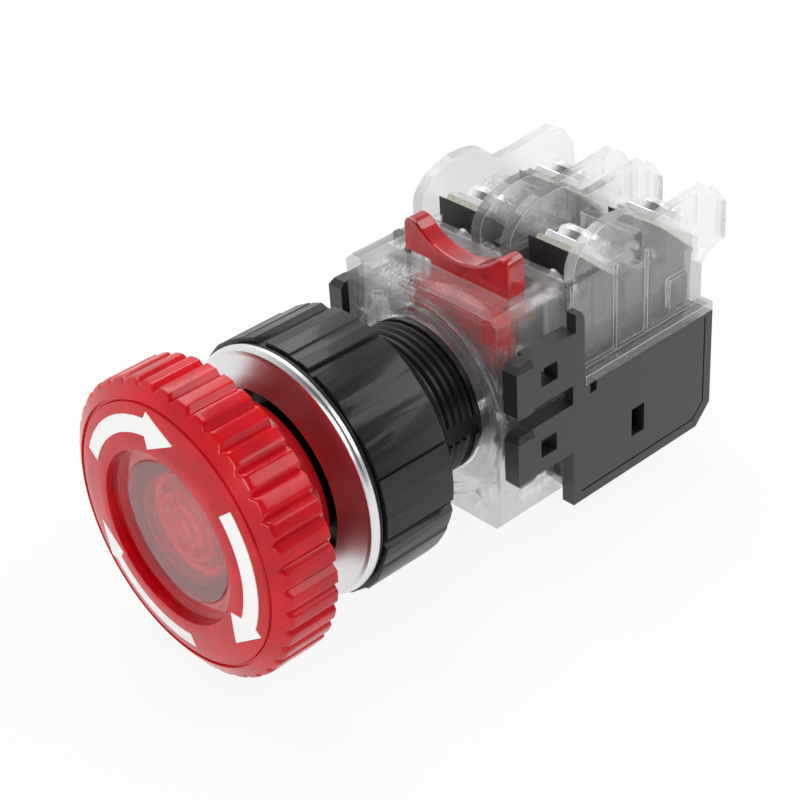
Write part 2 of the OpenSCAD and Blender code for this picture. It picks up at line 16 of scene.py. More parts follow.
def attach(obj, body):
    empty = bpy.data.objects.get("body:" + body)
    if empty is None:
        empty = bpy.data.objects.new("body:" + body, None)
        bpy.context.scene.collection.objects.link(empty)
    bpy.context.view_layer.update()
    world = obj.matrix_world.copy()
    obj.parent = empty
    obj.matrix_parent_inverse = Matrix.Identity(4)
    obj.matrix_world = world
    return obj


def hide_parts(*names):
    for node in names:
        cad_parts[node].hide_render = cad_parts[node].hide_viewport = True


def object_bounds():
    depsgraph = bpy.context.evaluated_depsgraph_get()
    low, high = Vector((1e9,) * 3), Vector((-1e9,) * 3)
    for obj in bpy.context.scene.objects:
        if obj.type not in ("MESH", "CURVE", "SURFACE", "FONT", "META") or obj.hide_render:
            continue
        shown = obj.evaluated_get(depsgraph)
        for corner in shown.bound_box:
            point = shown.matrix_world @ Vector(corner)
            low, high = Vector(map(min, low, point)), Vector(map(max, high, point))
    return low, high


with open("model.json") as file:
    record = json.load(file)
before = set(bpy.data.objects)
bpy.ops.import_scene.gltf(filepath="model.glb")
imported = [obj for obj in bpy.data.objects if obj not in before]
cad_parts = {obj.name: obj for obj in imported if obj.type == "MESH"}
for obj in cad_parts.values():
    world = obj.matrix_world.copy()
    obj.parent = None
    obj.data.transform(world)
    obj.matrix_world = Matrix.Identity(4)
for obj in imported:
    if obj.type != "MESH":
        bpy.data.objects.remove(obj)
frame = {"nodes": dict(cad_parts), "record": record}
cad_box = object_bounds()
MM = 0.001
nodes = frame["nodes"]
print("nodes:", len(nodes), "box in mm:", [[round(v / MM, 1) for v in corner] for corner in cad_box])

# %% [markdown]
# ## Camera
# A small switch is shown best through a long lens from about a quarter of a metre, which keeps its
# parallel edges nearly parallel. The camera stands to the front right, above the button, and is rolled a
# few degrees. It could be aimed with a Track To constraint, but that leaves no roll. So its three axes
# are worked out from the azimuth, the elevation and the roll, and become the columns of its matrix.

# %% The camera
CAMERA_PLACE = Vector((167.17, -130.52, 147.85)) * MM
AZIMUTH = math.radians(48.35)
ELEVATION = math.radians(33.32)
ROLL = math.radians(-3.6)
LENS, SENSOR = 91.5, 36


def camera_axes():
    back = Vector((math.sin(AZIMUTH) * math.cos(ELEVATION), -math.cos(AZIMUTH) * math.cos(ELEVATION),
                   math.sin(ELEVATION)))
    right = Vector((math.cos(AZIMUTH), math.sin(AZIMUTH), 0))
    up = back.cross(right)
    turned_right = right * math.cos(ROLL) + up * math.sin(ROLL)
    turned_up = up * math.cos(ROLL) - right * math.sin(ROLL)
    return Matrix((turned_right, turned_up, back)).transposed().to_4x4()


bpy.ops.object.camera_add(location=CAMERA_PLACE)
camera = bpy.context.object
camera.name = "camera"
camera.matrix_world = Matrix.Translation(CAMERA_PLACE) @ camera_axes()
camera.data.lens = LENS
camera.data.sensor_width = SENSOR
camera.data.clip_start = 0.01
camera.data.clip_end = 10
bpy.context.scene.camera = camera
print("camera looks along", [round(v, 3) for v in camera.matrix_world.to_3x3() @ Vector((0, 0, -1))])

# %% [markdown]
# ## Wiring shader nodes
# Every material and the world are small graphs of nodes. They could be drawn by hand in the Shader
# Editor. Here one helper adds a node and fills its inputs, with a number or with a link from another
# node, so that each graph reads from top to bottom.

# %% Add a node
def add_node(tree, kind, inputs=(), **settings):
    """A shader node with its settings, and its inputs set to numbers or linked to a node's output."""
    made = tree.nodes.new(kind)
    for key, value in settings.items():
        setattr(made, key, value)
    for key, value in dict(inputs).items():
        if isinstance(value, bpy.types.NodeSocket):
            tree.links.new(value, made.inputs[key])
        else:
            made.inputs[key].default_value = value
    return made


def join(tree, output, target):
    tree.links.new(output, target)


WHITE = (1, 1, 1, 1)
print("plain white is", WHITE)

# %% [markdown]
# ## Studio air
# The button stands in a white studio with soft light from above. The world could be one white colour,
# but a room that is white all round fogs every glossy surface. So it shows three faces, told apart by the
# Light Path node: a plain grey-white that lights the object, pure white for the camera and for rays that
# pass through clear plastic, and for reflections a room that is white low down and to the left and
# darker towards the camera.

# %% The world
WORLD_LIGHT = 0.42
ROOM_LEVEL, DARK_LEVEL = 0.95, 0.06
DARK_SIDE = Vector((0.62, -0.35, 0.7)).normalized()
DARK_FROM, DARK_TO = -0.1, 0.75


def set_world():
    world = bpy.data.worlds.new("studio_air")
    world.use_nodes = True
    tree = world.node_tree
    lit = tree.nodes["Background"]
    lit.inputs["Strength"].default_value = WORLD_LIGHT
    lit.inputs["Color"].default_value = WHITE
    plain = add_node(tree, "ShaderNodeBackground", {"Color": WHITE, "Strength": 1.0})
    place = add_node(tree, "ShaderNodeTexCoord")
    side = add_node(tree, "ShaderNodeVectorMath", {0: place.outputs["Generated"], 1: DARK_SIDE},
                    operation="DOT_PRODUCT")
    shade = add_node(tree, "ShaderNodeMapRange",
                     {"Value": side.outputs["Value"], "From Min": DARK_FROM, "From Max": DARK_TO,
                      "To Min": ROOM_LEVEL, "To Max": DARK_LEVEL})
    room = add_node(tree, "ShaderNodeBackground", {"Color": WHITE, "Strength": shade.outputs["Result"]})
    path = add_node(tree, "ShaderNodeLightPath")
    reflected = add_node(tree, "ShaderNodeMixShader", {"Fac": path.outputs["Is Glossy Ray"]})
    join(tree, lit.outputs[0], reflected.inputs[1])
    join(tree, room.outputs[0], reflected.inputs[2])
    seen = add_node(tree, "ShaderNodeMath", {0: path.outputs["Is Camera Ray"],
                                             1: path.outputs["Is Transmission Ray"]}, operation="MAXIMUM")
    both = add_node(tree, "ShaderNodeMixShader", {"Fac": seen.outputs[0]})
    join(tree, reflected.outputs[0], both.inputs[1])
    join(tree, plain.outputs[0], both.inputs[2])
    join(tree, both.outputs[0], tree.nodes["World Output"].inputs["Surface"])
    bpy.context.scene.world = world


set_world()
bpy.context.scene.view_settings.view_transform = "Standard"
print("world light", WORLD_LIGHT, "reflected room from", DARK_LEVEL, "to", ROOM_LEVEL)

# %% [markdown]
# ## Softboxes
# Glossy plastic is drawn by what it reflects. Point lamps would leave small hard spots, so area lamps
# stand in for studio softboxes: a large one above and to the left, whose reflection runs along the tops
# of the cylinders, a weaker one in front, and a small strip behind on the right that draws a band of
# light on the stem.

# %% The lamps
AIM = Vector((0, 0.02, 0))


def add_softbox(name, place, size, power):
    bpy.ops.object.light_add(type="AREA", location=place)
    lamp = bpy.context.object
    lamp.name = name
    lamp.data.shape = "RECTANGLE"
    lamp.data.size, lamp.data.size_y = size
    lamp.data.energy = power
    lamp.rotation_euler = (AIM - Vector(place)).to_track_quat("-Z", "Y").to_euler()
    print(name, "gives", power, "W")


add_softbox("top_softbox", (-0.25, 0.1, 0.5), (0.35, 0.5), 1.9)
add_softbox("strip_softbox", (0.17, 0.21, 0.2), (0.3, 0.15), 0.4)
add_softbox("front_softbox", (0.15, -0.6, 0.2), (0.3, 0.3), 1.5)

# %% [markdown]
# ## Floor
# The floor is a sheet of white card that should vanish into the background and still hold a trace of
# the button's shadow. A shadow catcher would need the film to be transparent. Mixing a little of a lit
# white shader into a plain glowing one gives the same look on an ordinary plane.

# %% The floor
FLOOR_Z = cad_box[0][2] - 0.2 * MM
FLOOR_SIZE = 3
WHITE_SHARE = 0.9


def floor_material():
    material = bpy.data.materials.new("floor_white")
    material.use_nodes = True
    tree = material.node_tree
    lit = tree.nodes["Principled BSDF"]
    lit.inputs["Base Color"].default_value = (0.8, 0.8, 0.8, 1)
    lit.inputs["Roughness"].default_value = 0.9
    lit.inputs["Specular IOR Level"].default_value = 0
    glow = add_node(tree, "ShaderNodeEmission", {"Color": WHITE, "Strength": 1.0})
    path = add_node(tree, "ShaderNodeLightPath")
    glossy = add_node(tree, "ShaderNodeMath", {0: path.outputs["Is Camera Ray"],
                                               1: path.outputs["Is Glossy Ray"]}, operation="MAXIMUM")
    seen = add_node(tree, "ShaderNodeMath", {0: glossy.outputs[0], 1: path.outputs["Is Transmission Ray"]},
                    operation="MAXIMUM")
    share = add_node(tree, "ShaderNodeMath", {0: seen.outputs[0], 1: WHITE_SHARE}, operation="MULTIPLY")
    mix = add_node(tree, "ShaderNodeMixShader", {"Fac": share.outputs[0]})
    join(tree, lit.outputs[0], mix.inputs[1])
    join(tree, glow.outputs[0], mix.inputs[2])
    join(tree, mix.outputs[0], tree.nodes["Material Output"].inputs["Surface"])
    return material


bpy.ops.mesh.primitive_plane_add(size=FLOOR_SIZE, location=(0, 0, FLOOR_Z))
floor = bpy.context.object
floor.name = "floor"
floor.data.materials.append(floor_material())
print("floor at", round(FLOOR_Z / MM, 2), "mm")

# %% [markdown]
# ## A finish with grain
# Moulded plastic is never quite even. An image texture could carry its unevenness, but a noise needs no
# file and has no seam. Every finish is a Principled shader with a noise of a stated size in Object
# coordinates, which moves the colour between two tones and the roughness between two values, and lifts
# the surface a little. The CAD model's plain materials carry the same names, so they are renamed first.

# %% Make a finish
def finish(name, dark, light, roughness, grain=0.5, bump=0.004, contrast=1.0, **sockets):
    """A procedural material: two tones, a roughness range, a grain size and a bump height in mm."""
    if name in bpy.data.materials:
        bpy.data.materials[name].name = "plain_" + name
    material = bpy.data.materials.new(name)
    material.use_nodes = True
    tree = material.node_tree
    shader = tree.nodes["Principled BSDF"]
    for socket, value in sockets.items():
        shader.inputs[socket.replace("_", " ")].default_value = value
    place = add_node(tree, "ShaderNodeTexCoord")
    noise = add_node(tree, "ShaderNodeTexNoise", {"Vector": place.outputs["Object"],
                                                  "Scale": 1 / (grain * MM), "Detail": 3})
    spread = add_node(tree, "ShaderNodeMapRange",
                      {"Value": noise.outputs["Fac"], "From Min": 0.5 - 0.25 / contrast,
                       "From Max": 0.5 + 0.25 / contrast})
    tones = add_node(tree, "ShaderNodeMix", {"Factor": spread.outputs["Result"]}, data_type="RGBA")
    tones.inputs["A"].default_value = (*dark, 1)
    tones.inputs["B"].default_value = (*light, 1)
    join(tree, tones.outputs["Result"], shader.inputs["Base Color"])
    rough = add_node(tree, "ShaderNodeMapRange", {"Value": noise.outputs["Fac"], "To Min": roughness[0],
                                                  "To Max": roughness[1]})
    join(tree, rough.outputs["Result"], shader.inputs["Roughness"])
    lift = add_node(tree, "ShaderNodeBump", {"Height": noise.outputs["Fac"], "Distance": bump * MM})
    join(tree, lift.outputs["Normal"], shader.inputs["Normal"])
    return material


red_cap = finish("red_cap", (0.46, 0.003, 0.008), (0.66, 0.005, 0.01), roughness=(0.14, 0.22), grain=5,
                 bump=0.01, contrast=1.2, Specular_IOR_Level=0.36)
print("first finish:", red_cap.name)

# %% [markdown]
# ## Drawing a line
# Most pieces start as a profile drawn point by point. A curve object could hold it, but a mesh line can
# be spun and extruded at once. It starts as a plane merged to a single vertex, and that vertex is then
# extruded from point to point. Afterwards doubles are merged and every face is turned outwards.

# %% Select, trace and clean
MERGE = 0.002 * MM


def select_only(piece):
    bpy.ops.object.select_all(action="DESELECT")
    piece.select_set(True)
    bpy.context.view_layer.objects.active = piece


def merge_all():
    bpy.ops.mesh.select_all(action="SELECT")
    bpy.ops.mesh.remove_doubles(threshold=MERGE)


def trace(name, points):
    """A new line through points in mm, left in edit mode with everything selected."""
    bpy.ops.object.select_all(action="DESELECT")
    bpy.ops.mesh.primitive_plane_add(size=MM)
    piece = bpy.context.object
    piece.name = piece.data.name = name
    bpy.ops.object.mode_set(mode="EDIT")
    bpy.ops.mesh.merge(type="CENTER")
    here = Vector(points[0]) * MM
    bpy.ops.transform.translate(value=here)
    for point in points[1:]:
        there = Vector(point) * MM
        bpy.ops.mesh.extrude_vertices_move(TRANSFORM_OT_translate={"value": there - here})
        here = there
    bpy.ops.mesh.select_all(action="SELECT")
    return piece


def clean(piece):
    """Merges doubles and points every face outwards, then leaves edit mode."""
    merge_all()
    bpy.ops.mesh.normals_make_consistent(inside=False)
    bpy.ops.object.mode_set(mode="OBJECT")
    return piece


print("points closer than", round(MERGE / MM, 4), "mm are merged")

# %% [markdown]
# ## Finishing a piece
# A finished piece is shaded smooth wherever its faces meet at less than a given angle, gets the material
# of its slot, rides on the body that moves it, and replaces the CAD node that it was made for.

# %% Shade, fill and ride
def done(piece, body, slot, *replaced, angle=13):
    select_only(piece)
    bpy.ops.object.shade_smooth_by_angle(angle=math.radians(angle))
    if len(piece.data.materials) < 2:
        piece.data.materials.clear()
        piece.data.materials.append(bpy.data.materials[slot])
    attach(piece, body)
    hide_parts(*replaced)
    print(f"{piece.name}: {len(piece.data.polygons)} faces on {body}")
    return piece


subparts = frame["record"]["subparts"]
print("slots to fill:", len({part["material_slot"] for part in subparts}))

# %% [markdown]
# ## The cap's profile
# The red cap is a shallow mushroom of tinted plastic, hollow behind, with a sunk ring for the lens and a
# fine step round the face. A cylinder could be bevelled into it, but a profile gives each radius exactly.
# The inside and the face are one run of points. The shoulder and the grip are another, which a groove
# pushes inwards.

# %% Draw the cap's profile
GRIP_R, GRIP_BACK = 20.5, -11.8
SHOULDER_R, SHOULDER_Y, SHOULDER_RISE = 18.35, -20.05, 0.6
inside = [(18.5, GRIP_BACK), (18.3, -18.45), (10.45, -18.45), (10.45, -19.25), (11.85, -19.25),
          (11.85, -20.95), (11.89, -21.05), (12.0, -21.08), (13.8, -20.8), (15.8, -20.46), (17.6, -20.14),
          (17.76, -20.08), (17.84, -19.96), (17.92, -19.75), (18.18, -19.75), (18.24, -19.98)]


def shoulder_y(r):
    return SHOULDER_Y + SHOULDER_RISE * (r - SHOULDER_R)


def grip_line(depth):
    """The (radius, y) points of the shoulder and the grip, at a depth below the crests."""
    top = GRIP_R - depth
    slope = [SHOULDER_R + (top - 0.32 - SHOULDER_R) * share for share in (0, 0.35, 0.7, 0.9, 1)]
    corner = [(top - 0.2, 0.03), (top - 0.09, 0.12), (top - 0.02, 0.3), (top, 0.6)]
    return ([(r, shoulder_y(r)) for r in slope] + [(r, shoulder_y(r) + past) for r, past in corner]
            + [(top, -17), (top, -14.5), (top, GRIP_BACK + 0.25), (top - 0.07, GRIP_BACK + 0.07),
               (top - 0.25, GRIP_BACK)])


print("points in the profile:", len(inside) + len(grip_line(0)))

# %% [markdown]
# ## The grip's grooves
# The grip is moulded with forty flat-topped lobes and narrow V grooves, so that a gloved hand can twist
# it. Cutting forty grooves with Booleans would leave ragged notches on the sloping shoulder. A formula
# for the depth across one groove, half round and half V, keeps the surface in clean rows instead.

# %% The depth across a groove
LOBES = 40
LOBE_ANGLE = 360 / LOBES
GROOVE_DEPTH, GROOVE_HALF = 0.66, 2.3
ROUND_SHARE, V_SHARE, V_POWER = 0.6, 0.4, 1.3


def groove_depth(turn):
    """Depth at an angle from the middle of a groove, in degrees."""
    across = min(1, abs(turn) / GROOVE_HALF)
    return GROOVE_DEPTH * (ROUND_SHARE * math.cos(math.radians(90 * across)) ** 2
                           + V_SHARE * (1 - across) ** V_POWER)


print("groove depths in mm:", [round(groove_depth(turn), 2) for turn in (0, 1, 2)])

# %% [markdown]
# ## The cap
# Only one lobe is drawn. The profile is spun through nine degrees in narrow columns, the columns over
# the groove are pushed inwards point by point, and the sector is then spun round as forty copies that
# merge into one skin.

# %% Spin one lobe, press in its groove and repeat it
COLUMNS = 14
FIRST_ANGLE = math.radians(7.9)
AXIS = {"center": (0, 0, 0), "axis": (0, 1, 0)}


def pick(piece, test):
    """Selects the vertices whose place in mm passes a test."""
    bpy.ops.mesh.select_all(action="DESELECT")
    bpy.ops.object.mode_set(mode="OBJECT")
    for vertex in piece.data.vertices:
        vertex.select = test(vertex.co / MM)
    bpy.ops.object.mode_set(mode="EDIT")


def around(angle, r, y):
    return Vector((r * math.cos(angle), y, r * math.sin(angle)))


def press_column(cap, angle, depth):
    for (r, y), (new_r, new_y) in zip(grip_line(0), grip_line(depth)):
        start = around(angle, r, y)
        pick(cap, lambda place: (place - start).length < 0.01)
        bpy.ops.transform.translate(value=(around(angle, new_r, new_y) - start) * MM)


def make_cap():
    line = [around(FIRST_ANGLE, r, y) for r, y in inside + grip_line(0)]
    cap = trace("cap", line + [line[0]])
    bpy.ops.mesh.select_mode(type="VERT")
    bpy.ops.mesh.spin(steps=COLUMNS, angle=math.radians(LOBE_ANGLE), **AXIS)
    merge_all()
    for column in range(1, COLUMNS):
        turn = LOBE_ANGLE * column / COLUMNS
        depth = groove_depth(turn - LOBE_ANGLE / 2)
        if depth > 0.001:
            press_column(cap, FIRST_ANGLE + math.radians(turn), depth)
    bpy.ops.mesh.select_all(action="SELECT")
    bpy.ops.mesh.spin(steps=LOBES - 1, dupli=True, angle=2 * math.pi * (LOBES - 1) / LOBES, **AXIS)
    return clean(cap)


done(make_cap(), "head", "red_cap", "knob_cap", angle=28)

# %% [markdown]
# ## Lens
# A clear red lens is snapped into the middle of the face. It is a turned part, so its profile is spun
# about the barrel's axis, as on a lathe; a flattened sphere would give the wrong edge. The finish lets
# part of the light straight through and reflects little, so that the cup behind it can be seen.

# %% The lens
def turned(name, profile, steps=128):
    """Spins (radius, y) points about the Y axis. A profile that ends off the axis closes on itself."""
    points = [(r, y, 0) for r, y in profile]
    if profile[0][0] > 0:
        points.append(points[0])
    piece = trace(name, points)
    bpy.ops.mesh.spin(steps=steps, angle=2 * math.pi, **AXIS)
    return clean(piece)


finish("red_lens", (0.7, 0.02, 0.035), (0.78, 0.03, 0.05), roughness=(0.02, 0.06), grain=3,
       Transmission_Weight=1.0, IOR=1.4, Alpha=0.4, Specular_IOR_Level=0.1)
lens = turned("lens", [(0, -20.32), (5, -20.32), (9.5, -20.28), (11.6, -20.22), (11.75, -20.12),
                       (11.8, -19.95), (11.8, -19.3), (9.8, -19.3), (9.6, -19.5), (0, -19.5)])
done(lens, "head", "red_lens", "knob_lens", angle=30)

# %% [markdown]
# ## Painted rings of light and shade
# The cup behind the lens shows rings, brighter and darker, and turns to plum near its rim. These are
# painted light and shade: the brighter rings are painted highlights where the cup's rings catch the
# light, the darker rings are painted shade, and the plum near the rim is painted shade over the lamp
# carrier's own grey. Rings could be painted or made of separate parts. A colour ramp read by the
# distance from the axis draws them on one piece and keeps them exactly round.

# %% Colour by distance from the axis
def ringed(material, rings):
    """Colours a turned piece by its distance from the Y axis: (radius in mm, colour) stops."""
    tree = material.node_tree
    place = add_node(tree, "ShaderNodeTexCoord")
    flat = add_node(tree, "ShaderNodeVectorMath", {0: place.outputs["Object"], 1: (1 / MM, 0, 1 / MM)},
                    operation="MULTIPLY")
    away = add_node(tree, "ShaderNodeVectorMath", {0: flat.outputs["Vector"]}, operation="LENGTH")
    reach = max(radius for radius, colour in rings)
    share = add_node(tree, "ShaderNodeMath", {0: away.outputs["Value"], 1: reach}, operation="DIVIDE")
    ramp = add_node(tree, "ShaderNodeValToRGB", {"Fac": share.outputs[0]})
    stops = ramp.color_ramp.elements
    for index, (radius, colour) in enumerate(rings):
        stop = stops[index] if index < 2 else stops.new(radius / reach)
        stop.position = radius / reach
        stop.color = (*colour, 1)
    join(tree, ramp.outputs["Color"], tree.nodes["Principled BSDF"].inputs["Base Color"])


# Painted light and shade: the brighter red rings are painted highlights, the deeper red rings and the plum
# near the rim are painted shade, the plum partly the lamp carrier's own grey.
LIT_RED, SHADED_RED, SHADED_PLUM = (0.85, 0.015, 0.025), (0.42, 0.006, 0.012), (0.22, 0.008, 0.02)
red_diffuser = finish("red_diffuser", SHADED_RED, LIT_RED, roughness=(0.2, 0.3), grain=2,
                      Specular_IOR_Level=0.15)
ringed(red_diffuser, [(0, SHADED_RED), (10.5, LIT_RED), (1.0, LIT_RED), (1.8, SHADED_RED), (2.6, LIT_RED),
                      (3.6, SHADED_RED), (4.6, LIT_RED), (5.6, SHADED_RED), (6.6, LIT_RED), (7.6, SHADED_PLUM), (9.4, SHADED_PLUM)])
print("rings on", red_diffuser.name)

# %% [markdown]
# ## Diffuser cup
# A moulded cup stands behind the lens: a ring of fine prisms round a small dome spreads the lamp's
# light. The prisms are a zigzag in the profile, worked out from their number and pitch, and the whole
# cup is one closed line spun round.

# %% The cup
PRISM_START, PRISM_PITCH, PRISM_EDGES = 5.2, 0.45, 9
PRISM_LEAN, PRISM_RISE, PRISM_Y = 0.35, 0.5, -17.3
prisms = [(PRISM_START + PRISM_PITCH * k - (PRISM_LEAN if k % 2 else 0),
           PRISM_Y + (PRISM_RISE if k % 2 else 0)) for k in range(PRISM_EDGES)]
cup = turned("diffuser_cup", [(0, -18.6), (1.2, -18.55), (2.4, -18.2), (3.1, -17.7), (3.5, -17.2),
                              (4.4, -17.2), (4.4, -18.0), (4.8, -18.0)] + prisms
             + [(8.9, -17.6), (9.5, -18.9), (9.7, -19.2), (10.35, -19.2), (10.35, -18.5), (9.85, -18.4),
                (9.85, -16.6), (9.4, -16.2), (0, -16.2)])
done(cup, "head", "red_diffuser", "lens_diffuser", angle=30)

# %% [markdown]
# ## Stem
# The stem is the polished red tube between the cap and the bezel. A tube could be two cylinders with a
# Boolean. As a spun profile it also gets the small radius at its rear lip, where the light catches. A
# coat over the red makes it glossier than the cap.

# %% The stem
finish("red_stem", (0.5, 0.008, 0.012), (0.6, 0.012, 0.018), roughness=(0.05, 0.1), grain=3,
       Coat_Weight=0.5)
stem = turned("stem", [(9.9, -18.4), (11.9, -18.4), (11.9, -5.25), (11.86, -5.12), (11.75, -5.06),
                       (11.3, -5.06), (11.3, -6.36), (9.9, -6.36)])
done(stem, "head", "red_stem", "knob_stem", angle=35)

# %% [markdown]
# ## Bezel
# The bezel ring is turned from aluminium: a satin cone with a fine raised rim and a bright bevel round
# its edge. Satin metal needs little bump, because any unevenness shows as noise in the reflection, so
# its roughness does the work. It is spun in more steps than the plastic, since a mirror shows facets.

# %% The bezel
finish("satin_aluminium", (0.78, 0.78, 0.79), (0.81, 0.81, 0.82), roughness=(0.27, 0.3), grain=0.3,
       bump=0.0004, Metallic=1.0)
bezel = turned("bezel", [(12.7, -4.5), (12.78, -4.66), (12.95, -4.7), (13.1, -4.64), (14.5, -3.9),
                         (16.35, -2.95), (16.45, -2.92), (16.9, -2.84), (17.05, -2.74), (17.32, -2.45),
                         (17.4, -2.3), (17.4, -1.85), (17.3, -1.72), (17.1, -1.7), (13.5, -1.7),
                         (13.5, -3.35), (12.7, -3.35)], steps=192)
done(bezel, "operator", "satin_aluminium", "bezel_ring", angle=20)

# %% [markdown]
# ## Gasket
# A black rubber ring seals the bezel against the panel. Only its rounded edge shows as a dull line, so a
# rough, almost black finish and a few points on the rim are enough.

# %% The gasket
finish("black_rubber", (0.006, 0.006, 0.006), (0.012, 0.012, 0.012), roughness=(0.5, 0.65), grain=0.3)
gasket = turned("gasket", [(13.45, -1.64), (16.9, -1.64), (17.1, -1.58), (17.2, -1.42), (17.2, -1.16),
                           (17.08, -1.03), (16.2, -1), (16.2, -0.02), (13.45, -0.02)])
done(gasket, "operator", "black_rubber", "panel_gasket", angle=35)

# %% [markdown]
# ## The nut's outline
# The lock nut is a broad plastic ring for a hand or a ring spanner. Its rim has long flats, narrow
# channels and a shallow scoop, the same on both halves, so half of it is written as (angle, radius)
# corners and the outline goes round twice.

# %% The rim's corners
HALF_RIM = [(135, 17.9), (124, 17.9), (114.5, 17.88), (113.4, 17.6), (112.4, 17.85), (105.6, 18.0),
            (104.6, 17.15), (99.6, 17.0), (98.7, 17.75), (92, 17.78), (84.5, 17.75), (83.6, 17.55),
            (79.4, 17.55), (78.5, 17.8), (73.3, 17.8), (72.4, 17.1), (69.8, 17.1), (69, 17.75),
            (62, 17.8), (54.4, 17.78), (51, 17.5), (46, 17.3), (42, 17.33), (38.5, 17.65),
            (37.3, 17.82), (29, 17.85), (20.6, 17.85), (20.1, 17.4), (19.3, 17.4), (18.9, 17.8),
            (10, 17.82), (1, 17.82), (-8, 17.82), (-9, 17.5), (-10.2, 17.1), (-12.4, 17.1),
            (-13.2, 18.0), (-18, 17.95), (-24, 17.9), (-25, 18.1), (-35, 18.2), (-44.4, 18.2)]
rim = [(r * math.cos(math.radians(angle + half)), r * math.sin(math.radians(angle + half)))
       for half in (0, -180) for angle, r in HALF_RIM]
print("corners on the rim:", len(rim))

# %% [markdown]
# ## Slabs and modifiers
# A slab is an outline filled with one face and extruded along an axis. Holes and grooves are cut with an
# applied Boolean, and moulded edges are rounded with an applied Bevel, which is what catches a line of
# light on real plastic. Edges could be bevelled in edit mode, but the modifier finds them by angle.

# %% Extrude, cut and round
def slab(name, outline, low, high, axis="X"):
    """Extrudes a closed outline along an axis: (y, z) points along X, (x, z) points along Y."""
    points = [(low, a, b) if axis == "X" else (a, low, b) for a, b in outline]
    piece = trace(name, points + [points[0]])
    bpy.ops.mesh.remove_doubles(threshold=MERGE)
    bpy.ops.mesh.edge_face_add()
    way = Vector([(high - low) * MM if letter == axis else 0 for letter in "XYZ"])
    bpy.ops.mesh.extrude_region_move(TRANSFORM_OT_translate={"value": way})
    return clean(piece)


def modify(piece, kind, **settings):
    """Adds a modifier, sets it and applies it."""
    select_only(piece)
    step = piece.modifiers.new(kind.lower(), kind)
    for key, value in settings.items():
        setattr(step, key, value)
    bpy.ops.object.modifier_apply(modifier=step.name)
    return piece


def combine(piece, tool, operation="DIFFERENCE"):
    modify(piece, "BOOLEAN", operation=operation, solver="EXACT", object=tool)
    bpy.data.objects.remove(tool)
    return piece


def rounded(piece, width, segments=2, angle=30, **settings):
    return modify(piece, "BEVEL", width=width * MM, segments=segments, limit_method="ANGLE",
                  angle_limit=math.radians(angle), **settings)


rim_slab = slab("nut_rim", rim, -3, 16, "Y")
print("the rim is", len(rim_slab.data.polygons), "faces")

# %% [markdown]
# ## Lock nut
# The rear face of the nut slopes like a funnel, and the channels run out on it. If they were cut one by
# one each would need its own tool. A turned blank that keeps only what lies inside the extruded outline
# gets all of them at once. The finish is black nylon with a fine grain under a thin coat of shine.

# %% The lock nut
finish("black_nylon", (0.007, 0.007, 0.0065), (0.014, 0.014, 0.013), roughness=(0.34, 0.46), grain=0.3,
       bump=0.008, Specular_IOR_Level=0.3, Coat_Weight=0.2, Coat_Roughness=0.12)
blank = turned("nut_blank", [(11.1, 1.05), (16.4, 1.05), (16.4, -0.9), (17.95, -0.9), (18.2, -0.65),
                             (18.25, 9.6), (18.05, 10.2), (17.5, 10.55), (16.6, 10.95), (14.9, 12.3),
                             (14.2, 13.2), (13.5, 13.9), (11.1, 14)], steps=180)
nut = rounded(combine(blank, rim_slab, "INTERSECT"), 0.14, angle=25)
done(nut, "nut", "black_nylon", "lock_nut", angle=25)

# %% [markdown]
# ## Thread
# The barrel's thread is a real helix of 1.25 mm pitch with rounded crests. A stack of rings would look
# right from afar but would not run out at the keyway. One tooth is drawn as a closed line and wound
# round the barrel with a Screw modifier, and its two open ends are filled.

# %% Wind the thread
PITCH, THREAD_START, THREAD_TURNS, TURN_STEPS = 1.25, 0.75, 16, 72
TOOTH = [(10.4, -0.5), (10.9, -0.17), (10.98, -0.09), (11.0, 0), (10.98, 0.09), (10.9, 0.17), (10.4, 0.5)]


def wind(piece, axis, turns, offset, steps):
    return modify(piece, "SCREW", axis=axis, angle=2 * math.pi, screw_offset=offset * MM,
                  iterations=turns, steps=steps, render_steps=steps)


def make_thread():
    line = [(x, y + THREAD_START, 0) for x, y in TOOTH]
    thread = clean(trace("thread", line + [line[0]]))
    wind(thread, "Y", THREAD_TURNS, PITCH, TURN_STEPS)
    bpy.ops.object.mode_set(mode="EDIT")
    merge_all()
    bpy.ops.mesh.select_all(action="DESELECT")
    bpy.ops.mesh.select_non_manifold()
    bpy.ops.mesh.edge_face_add()
    return clean(thread)


thread = make_thread()
print("thread:", THREAD_TURNS, "turns,", len(thread.data.polygons), "faces")

# %% [markdown]
# ## Threaded barrel
# The barrel is a nylon tube with the thread outside, the button's bore inside and a plain tail. The
# thread is joined to a turned core with a Boolean, so the two are one skin, and a keyway is cut along
# it with a block.

# %% The barrel
def block(name, low, high):
    """A box between two corners, to cut with or to add."""
    outline = [(low[1], low[2]), (high[1], low[2]), (high[1], high[2]), (low[1], high[2])]
    return slab(name, outline, low[0], high[0])


tube = turned("barrel_tube", [(12.2, -3.3), (13.4, -3.3), (13.4, -0.02), (10.5, -0.02), (10.5, 21.2),
                              (10.98, 21.25), (10.98, 21.9), (10.5, 22.2), (10, 24.5), (10, 29.2),
                              (7, 29.2), (7, 26.5), (8.95, 26.5), (8.95, -0.6), (12.2, -0.6)])
barrel = combine(tube, thread, "UNION")
combine(barrel, block("keyway", (10.45, 0.05, -1.3), (12, 22.9, 1.7)))
done(barrel, "operator", "black_nylon", "barrel", angle=55)
